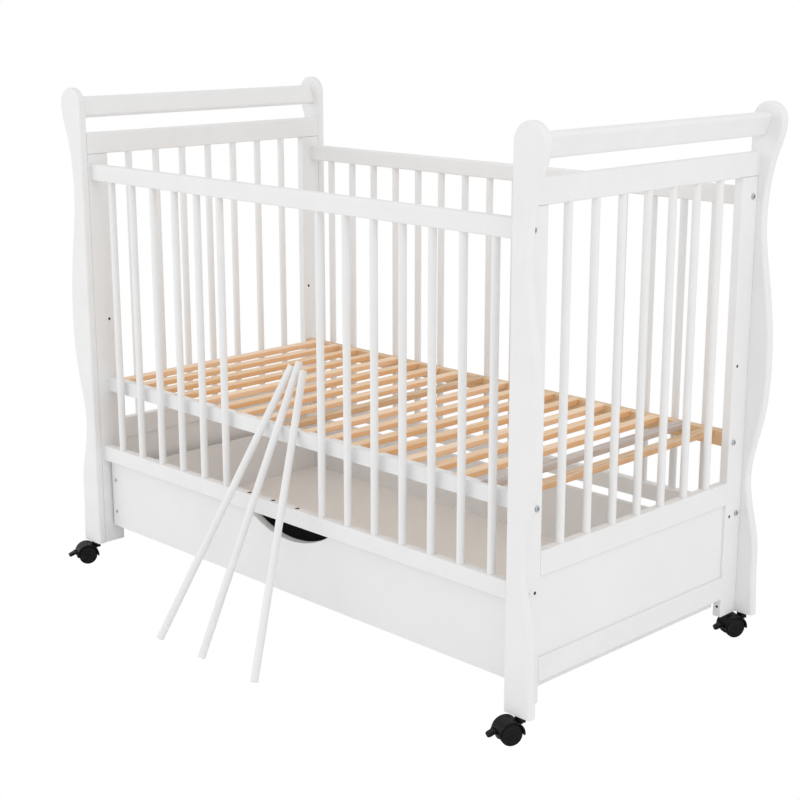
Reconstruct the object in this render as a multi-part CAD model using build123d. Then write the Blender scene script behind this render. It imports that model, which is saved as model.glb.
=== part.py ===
from build123d import *
import math
import os

os.makedirs("parts", exist_ok=True)

# ---------------------------------------------------------------------------
# Driving dimensions, in millimetres. X is the length, Y the depth with the
# drawer side at -Y, Z is up from the floor.
# ---------------------------------------------------------------------------

# Mattress space
mattress_length = 1200
mattress_width = 600
mattress_end_gap = 2.5
mattress_side_gap = 1.5

# Timber stock
frame_stock = 18
post_width = 50
edge_round = 3
small_round = 1.5

# Rails, with their undersides' heights above the feet of the posts
lower_rail_rise = 37
end_bottom_rail_rise = 231
end_top_rail_rise = 862
end_rail_height = 45
side_bottom_rail_rise = 191
side_top_rail_rise = 808
side_rail_height = 34
side_rail_thickness = 20
side_rail_setback = 4.5
base_rail_rise = 345
base_rail_height = 30
base_bolt_from_bottom = 10
base_step = 150

# Spindles
spindle_diameter = 15
tenon_diameter = 10
tenon_length = 12
tenon_clearance = 0.05
spindle_pitch = 72
loose_spindle_steps = (-2, -1, 0)
loose_spindle_length = 600
loose_spindle_chamfer = 1
loose_feet = (-156, -24, 134)
loose_lean_points = (-64, -23, 23)
loose_foot_reach = 187.5
loose_floor_gap = 0.3
loose_rest_gap = 0.3
loose_settling_steps = 20

# Wave-edged side boards, as distances outwards from the inner face of the end
# frame and heights above the bottom of the board
board_inner_lap = 2.5
board_outline = (
    (57.5, 0),
    (54, 90),
    (52.5, 150),
    (36.5, 225),
    (30.5, 290),
    (51.5, 392),
    (61, 470),
    (60, 560),
    (50.5, 645),
    (34, 760),
    (36, 835),
    (50.5, 905),
)
board_head_height = 966
board_head_radius = 34
board_round = 5
board_start_slope = (-0.02, 1)
board_head_slope = (0, 1)

# Handle rails
handle_height = 44
handle_thickness = 18
handle_tilt = 20
handle_middle_from_end = 26.5
handle_middle_rise = 959
handle_round = 6
handle_end_gap = 0.2

# End panels
panel_thickness = 8
panel_groove_depth = 7
panel_clearance = 0.2

# Bed base
base_rail_thickness = 18
base_rail_end_gap = 0.25
slat_pitch = 67
slat_width = 24
slat_thickness = 11
slat_notch = 9
slat_clearance = 0.2
grey_slat_from_last = 1
dark_slat_from_middle = -1
base_side_gap = 1.3

# Drawer
drawer_bottom_rise = 38
drawer_front_rise = 187
drawer_front_thickness = 16
drawer_front_setback = 21
drawer_front_end_gap = 4.5
drawer_side_rise = 169
drawer_back_rise = 180
drawer_side_thickness = 12
drawer_side_gap = 13
drawer_back_gap = 9.5
drawer_panel_thickness = 4
drawer_panel_rise = 53
drawer_panel_groove = 6
drawer_fit = 0.2
cutout_radius = 213
cutout_centre_rise = 362.5
pull_length = 270
pull_height = 46
pull_thickness = 2
pull_top_rise = 185
runner_width = 24
runner_height = 20
runner_end_gap = 6
runner_gap = 0.3

# Fasteners
bolt_radius = 3
bolt_clearance = 0.2
bolt_length = 60
bolt_head_radius = 5.5
bolt_head_height = 3
bolt_socket_radius = 2
bolt_socket_depth = 2
barrel_radius = 5
barrel_length = 14
barrel_from_face = 45
dowel_radius = 4
dowel_length = 28
small_dowel_radius = 3
small_dowel_length = 24
dowel_clearance = 0.05
board_dowel_rises = (65, 415, 795)
rail_dowel_shares = (0.25, 0.75)
side_dowel_drop = 11
screw_head_radius = 3.5
screw_head_height = 2.5
screw_radius = 2
screw_length = 45
screw_rises = (72, 145)
foot_hole_radius = 3
foot_hole_depth = 12
foot_hole_rise = 20

# Casters
caster_top_gap = 8
wheel_radius = 20
wheel_width = 11.5
wheel_bevel = 1.5
wheel_rim = 3
wheel_hub_radius = 9
wheel_recess_depth = 1
caster_web = 10
caster_web_gap = 0.6
web_bottom = 12
web_lap = 1
web_wall = 6
axle_radius = 2.5
axle_clearance = 0.05
axle_reach = 14
caster_trail = 20
caster_heading = -115
hood_gap = 1.5
hood_wall = 3
hood_bottom = 18
hood_side_lap = 1
boss_radius = 8
boss_above_hub = 14
stem_gap = 1
stem_lift = 2
stem_radius = 4
stem_bore_clearance = 0.05
stem_in_board = 35
stem_collar_radius = 7
stem_collar_height = 1
lug_thickness = 2
lug_radius = 3
brake_width = 13
brake_thickness = 6
brake_reach = 15
brake_side_gap = 0.3
brake_droop = 25
brake_knuckle_radius = 2.4
brake_pin_radius = 1.5
brake_pin_clearance = 0.05
brake_pin_from_hood = 2.9
brake_pin_angle = 12

# ---------------------------------------------------------------------------
# Positions that follow from the dimensions
# ---------------------------------------------------------------------------
end_inner = mattress_length / 2 + mattress_end_gap
end_outer = end_inner + frame_stock
side_inner = mattress_width / 2 + mattress_side_gap
side_outer = side_inner + side_rail_thickness
post_outer = side_outer + side_rail_setback
post_inner = post_outer - post_width
side_middle = side_inner + side_rail_thickness / 2
end_middle = end_inner + frame_stock / 2
side_spindle_count = int(2 * end_inner / spindle_pitch)
end_spindle_count = int(2 * post_inner / spindle_pitch)
loose_spindle_places = [side_spindle_count // 2 + step for step in loose_spindle_steps]
loose_foot_line = -(side_outer + loose_foot_reach)
handle_middle_from_centre = end_inner + handle_middle_from_end
board_inner_edge = end_inner - board_inner_lap
board_outer = post_outer + frame_stock
floor_to_frame = 2 * wheel_radius + caster_top_gap
lower_rail_bottom = floor_to_frame + lower_rail_rise
end_bottom_rail_bottom = floor_to_frame + end_bottom_rail_rise
end_top_rail_bottom = floor_to_frame + end_top_rail_rise
side_bottom_rail_bottom = floor_to_frame + side_bottom_rail_rise
side_top_rail_bottom = floor_to_frame + side_top_rail_rise
base_rail_bottom = floor_to_frame + base_rail_rise
handle_middle_height = floor_to_frame + handle_middle_rise
lower_rail_top = lower_rail_bottom + end_rail_height
end_bottom_rail_top = end_bottom_rail_bottom + end_rail_height
end_top_rail_top = end_top_rail_bottom + end_rail_height
side_bottom_rail_top = side_bottom_rail_bottom + side_rail_height
side_bottom_rail_middle = side_bottom_rail_bottom + side_rail_height / 2
side_top_rail_middle = side_top_rail_bottom + side_rail_height / 2
base_rail_top = base_rail_bottom + base_rail_height
base_bolt_height = base_rail_bottom + base_bolt_from_bottom
base_outer = mattress_width / 2 - base_side_gap
base_inner = base_outer - base_rail_thickness
base_bolt_line = base_outer - base_rail_thickness / 2
base_half_length = end_inner - base_rail_end_gap
slat_count = int((2 * base_half_length - slat_width) / slat_pitch) + 1
grey_slat_place = slat_count - 1 - grey_slat_from_last
dark_slat_place = slat_count // 2 + dark_slat_from_middle
drawer_bottom_edge = floor_to_frame + drawer_bottom_rise
drawer_front_top = floor_to_frame + drawer_front_rise
drawer_side_top = floor_to_frame + drawer_side_rise
drawer_back_top = floor_to_frame + drawer_back_rise
cutout_centre_height = floor_to_frame + cutout_centre_rise
pull_top = floor_to_frame + pull_top_rise
drawer_front_face = post_outer - drawer_front_setback
drawer_front_back = drawer_front_face - drawer_front_thickness
drawer_front_half_length = end_inner - drawer_front_end_gap
drawer_side_outer = end_inner - drawer_side_gap
drawer_back_outer = side_inner - drawer_back_gap
drawer_side_inner = drawer_side_outer - drawer_side_thickness
drawer_side_middle = drawer_side_outer - drawer_side_thickness / 2
runner_length = 2 * (post_inner - runner_end_gap)
hood_inner_radius = wheel_radius + hood_gap
hood_outer_radius = hood_inner_radius + hood_wall
boss_bottom = wheel_radius + boss_above_hub
brake_pin_from_hub = hood_outer_radius + brake_pin_from_hood


def block(x0, x1, y0, y1, z0, z1):
    """Rectangular timber between the given limits."""
    body = Box(x1 - x0, y1 - y0, z1 - z0)
    return Pos((x0 + x1) / 2, (y0 + y1) / 2, (z0 + z1) / 2) * body


def rod(axis, centre, radius, length):
    """Round bar of a given length centred on a point, along X, Y or Z."""
    turn = {"X": Rot(0, 90, 0), "Y": Rot(90, 0, 0), "Z": Rot(0, 0, 0)}[axis]
    return Pos(*centre) * turn * Cylinder(radius, length)


def eased(body, axis, radius):
    """Body with its long edges along one axis rounded over."""
    return fillet(body.edges().filter_by(axis), radius)


def other_end(body):
    """The same piece at the left end."""
    return mirror(body, about=Plane.YZ)


def other_side(body):
    """The same piece at the back."""
    return mirror(body, about=Plane.XZ)


def all_corners(body):
    """The front right piece, repeated at all four corners."""
    front = [body, other_end(body)]
    return front + [other_side(piece) for piece in front]


def save(name, bodies):
    """Write one node: a single solid, or a group of separate solids."""
    if isinstance(bodies, (list, tuple)):
        bodies = Compound(children=[solid for body in bodies for solid in body.solids()])
    export_step(bodies, "parts/" + name + ".step")


# ---------------------------------------------------------------------------
# Dowels and bolts of the front right corner, and the holes they need
# ---------------------------------------------------------------------------
corner_dowels = []

# Side board to post, three dowels through the joint
for rise in board_dowel_rises:
    place = (end_middle, -post_outer, floor_to_frame + rise)
    corner_dowels.append(("Y", place, dowel_radius, dowel_length))

# Side board to handle rail
handle_dowel_place = (handle_middle_from_centre, -post_outer, handle_middle_height)
corner_dowels.append(("Y", handle_dowel_place, dowel_radius, dowel_length))

# Post top into the end top rail
corner_dowels.append(
    ("Z", (end_middle, -(post_inner + post_width / 2), end_top_rail_bottom), dowel_radius, dowel_length)
)

# Post to end bottom rail and lower rail, two dowels in each joint
for rail_bottom in (lower_rail_bottom, end_bottom_rail_bottom):
    for share in rail_dowel_shares:
        height = rail_bottom + share * end_rail_height
        corner_dowels.append(("Y", (end_middle, -post_inner, height), dowel_radius, dowel_length))

# Post to side rails, one small dowel under each bolt
for height in (side_bottom_rail_middle, side_top_rail_middle):
    place = (end_inner, -side_middle, height - side_dowel_drop)
    corner_dowels.append(("X", place, small_dowel_radius, small_dowel_length))

corner_bolts = (
    (-side_middle, side_top_rail_middle),
    (-side_middle, side_bottom_rail_middle),
    (-base_bolt_line, base_bolt_height),
)
spare_bolt_holes = (
    (-base_bolt_line, base_bolt_height + base_step),
    (-base_bolt_line, base_bolt_height - base_step),
)

dowels = []
holes = []
for axis, centre, radius, length in corner_dowels:
    dowel = chamfer(rod(axis, centre, radius, length).edges(), small_round / 2)
    dowels.extend(all_corners(dowel))
    hole = rod(axis, centre, radius + dowel_clearance, length + 2 * small_round)
    holes.extend(all_corners(hole))

bolts = []
barrels = []
for y, z in corner_bolts:
    shank = rod("X", (end_outer - bolt_length / 2, y, z), bolt_radius, bolt_length)
    head = rod("X", (end_outer + bolt_head_height / 2, y, z), bolt_head_radius, bolt_head_height)
    head = fillet(head.faces().sort_by(Axis.X)[-1].edges(), small_round)
    socket_x = end_outer + bolt_head_height - bolt_socket_depth / 2
    head -= rod("X", (socket_x, y, z), bolt_socket_radius, bolt_socket_depth)
    bolts.extend(all_corners(shank + head))
    barrel_x = end_outer - barrel_from_face
    barrel = rod("Y", (barrel_x, y, z), barrel_radius, barrel_length)
    barrel -= rod("X", (barrel_x, y, z), bolt_radius, 3 * barrel_radius)
    barrels.extend(all_corners(barrel))
    bore_length = bolt_length + 2 * small_round
    bore_x = end_outer - bore_length / 2 + small_round
    bore = rod("X", (bore_x, y, z), bolt_radius + bolt_clearance, bore_length)
    holes.extend(all_corners(bore))
    pocket = rod("Y", (barrel_x, y, z), barrel_radius + dowel_clearance, barrel_length + small_round)
    holes.extend(all_corners(pocket))
for y, z in spare_bolt_holes:
    bore = rod("X", (end_middle, y, z), bolt_radius + bolt_clearance, 2 * frame_stock)
    holes.extend(all_corners(bore))

# Caster stem hole in the foot of each side board
stem_x = (board_inner_edge + end_inner + board_outline[0][0]) / 2
stem_y = -(post_outer + board_outer) / 2
stem_hole = rod("Z", (stem_x, stem_y, floor_to_frame + stem_in_board / 2), stem_radius, stem_in_board)
holes.extend(all_corners(stem_hole))

# Empty pilot hole near the foot of each post, in its inner edge
foot_hole_place = (end_middle, -post_inner, floor_to_frame + foot_hole_rise)
holes.extend(all_corners(rod("Y", foot_hole_place, foot_hole_radius, 2 * foot_hole_depth)))

hole_limits = [hole.bounding_box() for hole in holes]


def bored(body):
    """Body with every dowel, bolt and stem hole that reaches it cut away."""
    reach = body.bounding_box()
    for hole, limit in zip(holes, hole_limits):
        apart_x = limit.min.X > reach.max.X or limit.max.X < reach.min.X
        apart_y = limit.min.Y > reach.max.Y or limit.max.Y < reach.min.Y
        apart_z = limit.min.Z > reach.max.Z or limit.max.Z < reach.min.Z
        if not (apart_x or apart_y or apart_z):
            body -= hole
    return body


save("dowels", dowels)
save("frame_bolts", bolts)
save("barrel_nuts", barrels)

# ---------------------------------------------------------------------------
# Posts: flat timber, with the end panel let into a groove on the inside edge
# ---------------------------------------------------------------------------
panel_middle = end_middle
panel_groove = block(
    panel_middle - panel_thickness / 2 - panel_clearance,
    panel_middle + panel_thickness / 2 + panel_clearance,
    -post_inner - panel_groove_depth,
    post_inner + panel_groove_depth,
    lower_rail_top - panel_groove_depth,
    end_bottom_rail_bottom + panel_groove_depth,
)

post = block(end_inner, end_outer, -post_outer, -post_inner, floor_to_frame, end_top_rail_bottom)
post = eased(post, Axis.Z, small_round)
right_posts = {"front": post, "back": other_side(post)}
for place, body in right_posts.items():
    body = bored(body - panel_groove)
    save("post_right_" + place, body)
    save("post_left_" + place, other_end(body))

# ---------------------------------------------------------------------------
# Wave-edged side boards on the outer faces of the posts
# ---------------------------------------------------------------------------
outline = [(end_inner + x, floor_to_frame + z) for x, z in board_outline]
head_z = floor_to_frame + board_head_height
head_x = board_inner_edge + 2 * board_head_radius
head_start = (head_x, head_z)
head_top = (board_inner_edge + board_head_radius, head_z + board_head_radius)
head_end = (board_inner_edge, head_z)
wave = Spline(*outline, head_start, tangents=(board_start_slope, board_head_slope))
head = ThreePointArc(head_start, head_top, head_end)
straight = Polyline(head_end, (board_inner_edge, floor_to_frame), outline[0])
board_face = make_face([wave, head, straight.edges()[0], straight.edges()[1]])
board = extrude(Plane.XZ * board_face, amount=-frame_stock)
board = Pos(0, -board_outer, 0) * board
long_edges = board.edges().filter_by(lambda edge: edge.length > 2 * frame_stock)
foot_level = floor_to_frame + small_round
long_edges = long_edges.filter_by(lambda edge: edge.bounding_box().max.Z > foot_level)
board = fillet(long_edges, board_round)
for place, body in {"front": board, "back": other_side(board)}.items():
    body = bored(body)
    save("side_board_right_" + place, body)
    save("side_board_left_" + place, other_end(body))

# ---------------------------------------------------------------------------
# End top rails, capping the posts, bored for the end spindles
# ---------------------------------------------------------------------------
end_spindle_rows = []
for place in range(end_spindle_count):
    end_spindle_rows.append((place - (end_spindle_count - 1) / 2) * spindle_pitch)

end_top_rail = block(end_inner, end_outer, -post_outer, post_outer, end_top_rail_bottom, end_top_rail_top)
end_top_rail = eased(end_top_rail, Axis.Y, edge_round)
end_bottom_rail = block(
    end_inner, end_outer, -post_inner, post_inner, end_bottom_rail_bottom, end_bottom_rail_top
)
end_bottom_rail = eased(end_bottom_rail, Axis.Y, small_round)
end_bottom_rail -= panel_groove
for y in end_spindle_rows:
    socket = rod("Z", (end_middle, y, end_top_rail_bottom), tenon_diameter / 2, 2 * tenon_length)
    end_top_rail -= socket
    socket = rod("Z", (end_middle, y, end_bottom_rail_top), tenon_diameter / 2, 2 * tenon_length)
    end_bottom_rail -= socket
end_top_rail = bored(end_top_rail)
end_bottom_rail = bored(end_bottom_rail)
save("end_top_rail_right", end_top_rail)
save("end_top_rail_left", other_end(end_top_rail))
save("end_bottom_rail_right", end_bottom_rail)
save("end_bottom_rail_left", other_end(end_bottom_rail))

# ---------------------------------------------------------------------------
# Lower rails and the thin panels above them
# ---------------------------------------------------------------------------
lower_rail = block(end_inner, end_outer, -post_inner, post_inner, lower_rail_bottom, lower_rail_top)
lower_rail = eased(lower_rail, Axis.Y, small_round)
lower_rail = bored(lower_rail - panel_groove)
save("lower_rail_right", lower_rail)
save("lower_rail_left", other_end(lower_rail))

end_panel = block(
    panel_middle - panel_thickness / 2,
    panel_middle + panel_thickness / 2,
    -post_inner - panel_groove_depth + panel_clearance,
    post_inner + panel_groove_depth - panel_clearance,
    lower_rail_top - panel_groove_depth + panel_clearance,
    end_bottom_rail_bottom + panel_groove_depth - panel_clearance,
)
save("end_panel_right", end_panel)
save("end_panel_left", other_end(end_panel))

# ---------------------------------------------------------------------------
# Handle rails: boards tilted outwards between the side boards
# ---------------------------------------------------------------------------
handle = Box(handle_thickness, 2 * (post_outer - handle_end_gap), handle_height)
handle = eased(handle, Axis.Y, handle_round)
handle = Pos(handle_middle_from_centre, 0, handle_middle_height) * Rot(0, handle_tilt, 0) * handle
handle = bored(handle)
save("handle_rail_right", handle)
save("handle_rail_left", other_end(handle))


def spindle(x, y, low, high):
    """Round spindle with a turned tenon on both ends, between two rails."""
    length = high - low
    bar = rod("Z", (x, y, (low + high) / 2), spindle_diameter / 2, length)
    reach = length + 2 * (tenon_length - small_round)
    return bar + rod("Z", (x, y, (low + high) / 2), tenon_diameter / 2 - tenon_clearance, reach)


# ---------------------------------------------------------------------------
# End spindles
# ---------------------------------------------------------------------------
right_spindles = []
for y in end_spindle_rows:
    right_spindles.append(spindle(end_middle, y, end_bottom_rail_top, end_top_rail_bottom))
save("end_spindles_right", right_spindles)
save("end_spindles_left", [other_end(body) for body in right_spindles])

# ---------------------------------------------------------------------------
# Side rails with a socket for each spindle, and the spindles
# ---------------------------------------------------------------------------
side_spindle_rows = []
for place in range(side_spindle_count):
    side_spindle_rows.append((place - (side_spindle_count - 1) / 2) * spindle_pitch)


def side_rail(bottom, socket_height):
    """Front rail with its spindle sockets, at a given height."""
    rail = block(-end_inner, end_inner, -side_outer, -side_inner, bottom, bottom + side_rail_height)
    rail = eased(rail, Axis.X, edge_round)
    for x in side_spindle_rows:
        rail -= rod("Z", (x, -side_middle, socket_height), tenon_diameter / 2, 2 * tenon_length)
    return bored(rail)


top_rail = side_rail(side_top_rail_bottom, side_top_rail_bottom)
bottom_rail = side_rail(side_bottom_rail_bottom, side_bottom_rail_top)
save("front_top_rail", top_rail)
save("front_bottom_rail", bottom_rail)
save("back_top_rail", other_side(top_rail))
save("back_bottom_rail", other_side(bottom_rail))

front_spindles = []
back_spindles = []
for place, x in enumerate(side_spindle_rows):
    bar = spindle(x, -side_middle, side_bottom_rail_top, side_top_rail_bottom)
    back_spindles.append(other_side(bar))
    if place not in loose_spindle_places:
        front_spindles.append(bar)
save("front_spindles", front_spindles)
save("back_spindles", back_spindles)

# ---------------------------------------------------------------------------
# Three loose spindles: feet on the floor, leaning back through their gap onto
# the front rail of the bed base
# ---------------------------------------------------------------------------
radius = spindle_diameter / 2
rest_y = -base_outer
rest_z = base_rail_top
for number, (foot_x, rest_x) in enumerate(zip(loose_feet, loose_lean_points), start=1):
    rise = rest_z - radius
    run = rest_y - loose_foot_line
    offset = radius + loose_rest_gap
    for step in range(loose_settling_steps):
        steep = math.hypot(run, rise)
        across = rest_x - foot_x
        foot_height = loose_floor_gap + radius * math.hypot(run, across) / math.hypot(steep, across)
        touch_y = rest_y - offset * rise / steep
        touch_z = rest_z + offset * run / steep
        run = touch_y - loose_foot_line
        rise = touch_z - foot_height
    direction = Vector(rest_x - foot_x, run, rise).normalized()
    start = Vector(foot_x, loose_foot_line, foot_height)
    bar = Plane(origin=start, z_dir=direction) * Pos(0, 0, loose_spindle_length / 2) * Cylinder(
        radius, loose_spindle_length
    )
    bar = chamfer(bar.edges().filter_by(GeomType.CIRCLE), loose_spindle_chamfer)
    save("loose_spindle_" + str(number), bar)

# ---------------------------------------------------------------------------
# Bed base: two long rails notched for the slats
# ---------------------------------------------------------------------------
slat_reach = base_inner + slat_notch - slat_clearance
slats = []
notches = []
for place in range(slat_count):
    x = (place - (slat_count - 1) / 2) * slat_pitch
    low = base_rail_top - slat_thickness
    slat = block(x - slat_width / 2, x + slat_width / 2, -slat_reach, slat_reach, low, base_rail_top)
    slats.append(fillet(slat.edges().filter_by(Axis.Y), small_round))
    notches.append(
        block(
            x - slat_width / 2 - slat_clearance / 2,
            x + slat_width / 2 + slat_clearance / 2,
            -base_inner - slat_notch,
            base_inner + slat_notch,
            low,
            base_rail_top + slat_thickness,
        )
    )

base_rail = block(
    -base_half_length, base_half_length, -base_outer, -base_inner, base_rail_bottom, base_rail_top
)
base_rail = eased(base_rail, Axis.X, small_round)
for notch in notches:
    base_rail -= notch
base_rail = bored(base_rail)
save("base_front_rail", base_rail)
save("base_back_rail", other_side(base_rail))
plain_slats = [slat for place, slat in enumerate(slats) if place not in (grey_slat_place, dark_slat_place)]
save("base_slats", plain_slats)
save("base_slat_grey", slats[grey_slat_place])
save("base_slat_dark", slats[dark_slat_place])

# ---------------------------------------------------------------------------
# Drawer: front with a half-moon hand cut-out, sides, back, hardboard bottom
# ---------------------------------------------------------------------------
panel_low = floor_to_frame + drawer_panel_rise
panel_high = panel_low + drawer_panel_thickness
bottom_groove = block(
    -drawer_side_inner - drawer_panel_groove,
    drawer_side_inner + drawer_panel_groove,
    -drawer_front_back - drawer_panel_groove,
    drawer_back_outer - drawer_side_thickness + drawer_panel_groove,
    panel_low - drawer_fit / 2,
    panel_high + drawer_fit / 2,
)

screws = []
screw_holes = []
for x in (-drawer_side_middle, drawer_side_middle):
    for rise in screw_rises:
        z = floor_to_frame + rise
        head_y = -drawer_front_face + screw_head_height / 2
        shank_y = -drawer_front_face + screw_length / 2
        head = rod("Y", (x, head_y, z), screw_head_radius, screw_head_height)
        screws.append(head + rod("Y", (x, shank_y, z), screw_radius, screw_length))
        hole = rod("Y", (x, head_y, z), screw_head_radius + dowel_clearance, screw_head_height)
        hole += rod("Y", (x, shank_y, z), screw_radius + dowel_clearance, screw_length + small_round)
        screw_holes.append(hole)
save("drawer_screws", screws)

drawer_front = block(
    -drawer_front_half_length,
    drawer_front_half_length,
    -drawer_front_face,
    -drawer_front_back,
    drawer_bottom_edge,
    drawer_front_top,
)
cutout = rod("Y", (0, -drawer_front_face, cutout_centre_height), cutout_radius, 4 * drawer_front_thickness)
drawer_front -= cutout
drawer_front = fillet(drawer_front.faces().sort_by(Axis.Y)[0].edges(), small_round)
drawer_front -= bottom_groove
for hole in screw_holes:
    drawer_front -= hole
save("drawer_front", drawer_front)

drawer_side = block(
    drawer_side_inner,
    drawer_side_outer,
    -drawer_front_back,
    drawer_back_outer,
    drawer_bottom_edge,
    drawer_side_top,
)
drawer_side -= bottom_groove
for hole in screw_holes:
    drawer_side -= hole
save("drawer_side_right", drawer_side)
save("drawer_side_left", other_end(drawer_side))

drawer_back = block(
    -drawer_side_inner,
    drawer_side_inner,
    drawer_back_outer - drawer_side_thickness,
    drawer_back_outer,
    drawer_bottom_edge,
    drawer_back_top,
)
save("drawer_back", drawer_back - bottom_groove)

drawer_panel = block(
    -drawer_side_inner - drawer_panel_groove + drawer_fit,
    drawer_side_inner + drawer_panel_groove - drawer_fit,
    -drawer_front_back - drawer_panel_groove + drawer_fit,
    drawer_back_outer - drawer_side_thickness + drawer_panel_groove - drawer_fit,
    panel_low,
    panel_high,
)
save("drawer_bottom", drawer_panel)

drawer_pull = block(
    -pull_length / 2,
    pull_length / 2,
    -drawer_front_back,
    -drawer_front_back + pull_thickness,
    pull_top - pull_height,
    pull_top,
)
save("drawer_pull_backing", fillet(drawer_pull.edges().filter_by(Axis.Y), 4 * small_round))

# Runners on the end frames, under the drawer sides
runner = block(
    end_inner - runner_width,
    end_inner,
    -runner_length / 2,
    runner_length / 2,
    drawer_bottom_edge - runner_gap - runner_height,
    drawer_bottom_edge - runner_gap,
)
runner = eased(runner, Axis.Y, small_round)
save("drawer_runners", [runner, other_end(runner)])

# ---------------------------------------------------------------------------
# Casters. Each is built around its own stem axis, trailing along +X, then
# turned to its heading and moved under its side board
# ---------------------------------------------------------------------------
boss_top = floor_to_frame - stem_collar_height - stem_gap
hub = (caster_trail, 0, wheel_radius)
wheel_inner = caster_web / 2 + caster_web_gap
wheel_outer = wheel_inner + wheel_width
hood_width = 2 * (wheel_outer + hood_side_lap)
hood_limits = block(
    caster_trail - hood_outer_radius,
    caster_trail + hood_outer_radius,
    -hood_width / 2,
    hood_width / 2,
    hood_bottom,
    wheel_radius + hood_outer_radius,
)
hood = rod("Y", hub, hood_outer_radius, hood_width) & hood_limits
boss = rod("Z", (0, 0, (boss_bottom + boss_top) / 2), boss_radius, boss_top - boss_bottom)
lugs = []
brake_angle = math.radians(brake_pin_angle)
brake_x = caster_trail + brake_pin_from_hub * math.cos(brake_angle)
brake_z = wheel_radius + brake_pin_from_hub * math.sin(brake_angle)
for side in (-1, 1):
    lug_y = side * (brake_width / 2 + brake_side_gap + lug_thickness / 2)
    lug = rod("Y", (brake_x, lug_y, brake_z), lug_radius, lug_thickness)
    lug += Pos(brake_x, lug_y, brake_z) * Rot(0, -brake_pin_angle, 0) * Pos(-lug_radius, 0, 0) * Box(
        2 * lug_radius, lug_thickness, 2 * lug_radius
    )
    lugs.append(lug)
housing = hood + boss + lugs[0] + lugs[1]
housing -= rod("Y", hub, hood_inner_radius, 2 * hood_width)
web = rod("Y", hub, hood_inner_radius + web_lap, caster_web)
web_reach = 3 * hood_outer_radius
web &= block(-hood_outer_radius, web_reach, -caster_web, caster_web, web_bottom, web_reach)
web += block(
    -stem_radius - web_wall,
    caster_trail,
    -caster_web / 2,
    caster_web / 2,
    boss_bottom,
    boss_bottom + web_wall,
)
housing += web
housing -= rod("Z", (0, 0, floor_to_frame), stem_radius + stem_bore_clearance, 2 * floor_to_frame)
housing -= rod("Y", hub, axle_radius + axle_clearance, 2 * hood_width)
housing -= rod("Y", (brake_x, 0, brake_z), brake_pin_radius + brake_pin_clearance, hood_width)

wheels = []
for side in (-1, 1):
    wheel_y = side * (wheel_inner + wheel_outer) / 2
    wheel = rod("Y", (caster_trail, wheel_y, wheel_radius), wheel_radius, wheel_width)
    wheel = chamfer(wheel.edges().filter_by(GeomType.CIRCLE), wheel_bevel)
    face_y = side * wheel_outer
    ring = rod("Y", (caster_trail, face_y, wheel_radius), wheel_radius - wheel_rim, 2 * wheel_recess_depth)
    ring -= rod("Y", (caster_trail, face_y, wheel_radius), wheel_hub_radius, 4 * wheel_recess_depth)
    wheel -= ring
    wheel -= rod("Y", hub, axle_radius, 2 * axle_reach)
    wheels.append(wheel)
wheels.append(rod("Y", hub, axle_radius, 2 * axle_reach))

brake = rod("Y", (0, 0, 0), brake_knuckle_radius, brake_width)
brake += rod("Y", (0, 0, 0), brake_pin_radius, brake_width + 2 * (brake_side_gap + lug_thickness))
pedal = Pos(brake_reach / 2, 0, 0) * Box(brake_reach, brake_width, brake_thickness)
pedal = fillet(pedal.edges().filter_by(Axis.Z).group_by(Axis.X)[-1], brake_thickness)
brake += Rot(0, brake_droop, 0) * pedal
brake = Pos(brake_x, 0, brake_z) * brake

stem_low = boss_bottom + stem_lift
stem_high = floor_to_frame + stem_in_board
stem = rod("Z", (0, 0, (stem_low + stem_high) / 2), stem_radius, stem_high - stem_low)
collar_z = floor_to_frame - stem_collar_height / 2
stem += rod("Z", (0, 0, collar_z), stem_collar_radius, stem_collar_height)

stems = []
for end, end_sign in (("left", -1), ("right", 1)):
    for place, side_sign in (("front", 1), ("back", -1)):
        corner = Pos(end_sign * stem_x, side_sign * stem_y, 0)
        turned = corner * Rot(0, 0, caster_heading)
        save("caster_housing_" + end + "_" + place, turned * housing)
        save("caster_wheels_" + end + "_" + place, [turned * piece for piece in wheels])
        save("caster_brake_" + end + "_" + place, turned * brake)
        stems.append(corner * stem)
save("caster_stems", stems)
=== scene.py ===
"""Looks of a white baby crib with sleigh-shaped ends, a slatted pine base, a drawer and casters."""

import math

import bmesh
import bpy
from mathutils import Matrix, Vector


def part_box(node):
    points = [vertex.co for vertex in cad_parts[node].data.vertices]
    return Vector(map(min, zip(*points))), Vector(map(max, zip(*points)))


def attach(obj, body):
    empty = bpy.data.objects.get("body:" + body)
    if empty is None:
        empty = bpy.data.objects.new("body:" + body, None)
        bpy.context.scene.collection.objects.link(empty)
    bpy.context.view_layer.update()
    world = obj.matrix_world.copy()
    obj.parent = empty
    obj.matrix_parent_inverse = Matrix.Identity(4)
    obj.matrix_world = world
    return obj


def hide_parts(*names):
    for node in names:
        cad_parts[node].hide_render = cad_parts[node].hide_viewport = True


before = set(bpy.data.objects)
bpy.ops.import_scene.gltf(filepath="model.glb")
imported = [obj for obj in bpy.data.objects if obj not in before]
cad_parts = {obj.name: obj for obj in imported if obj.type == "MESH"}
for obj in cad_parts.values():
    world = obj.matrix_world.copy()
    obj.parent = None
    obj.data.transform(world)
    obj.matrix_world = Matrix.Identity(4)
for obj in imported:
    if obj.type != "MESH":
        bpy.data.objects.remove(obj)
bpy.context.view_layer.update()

# ---------------------------------------------------------------------------
# Painted timber: posts, wave-edged side boards, rails and handle rails. Planed
# pine sprayed with white water-based lacquer, doweled and bolted together.
# The lacquer is satin and lets a trace of the grain show along each piece.
# ---------------------------------------------------------------------------
MM = 0.001


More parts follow.
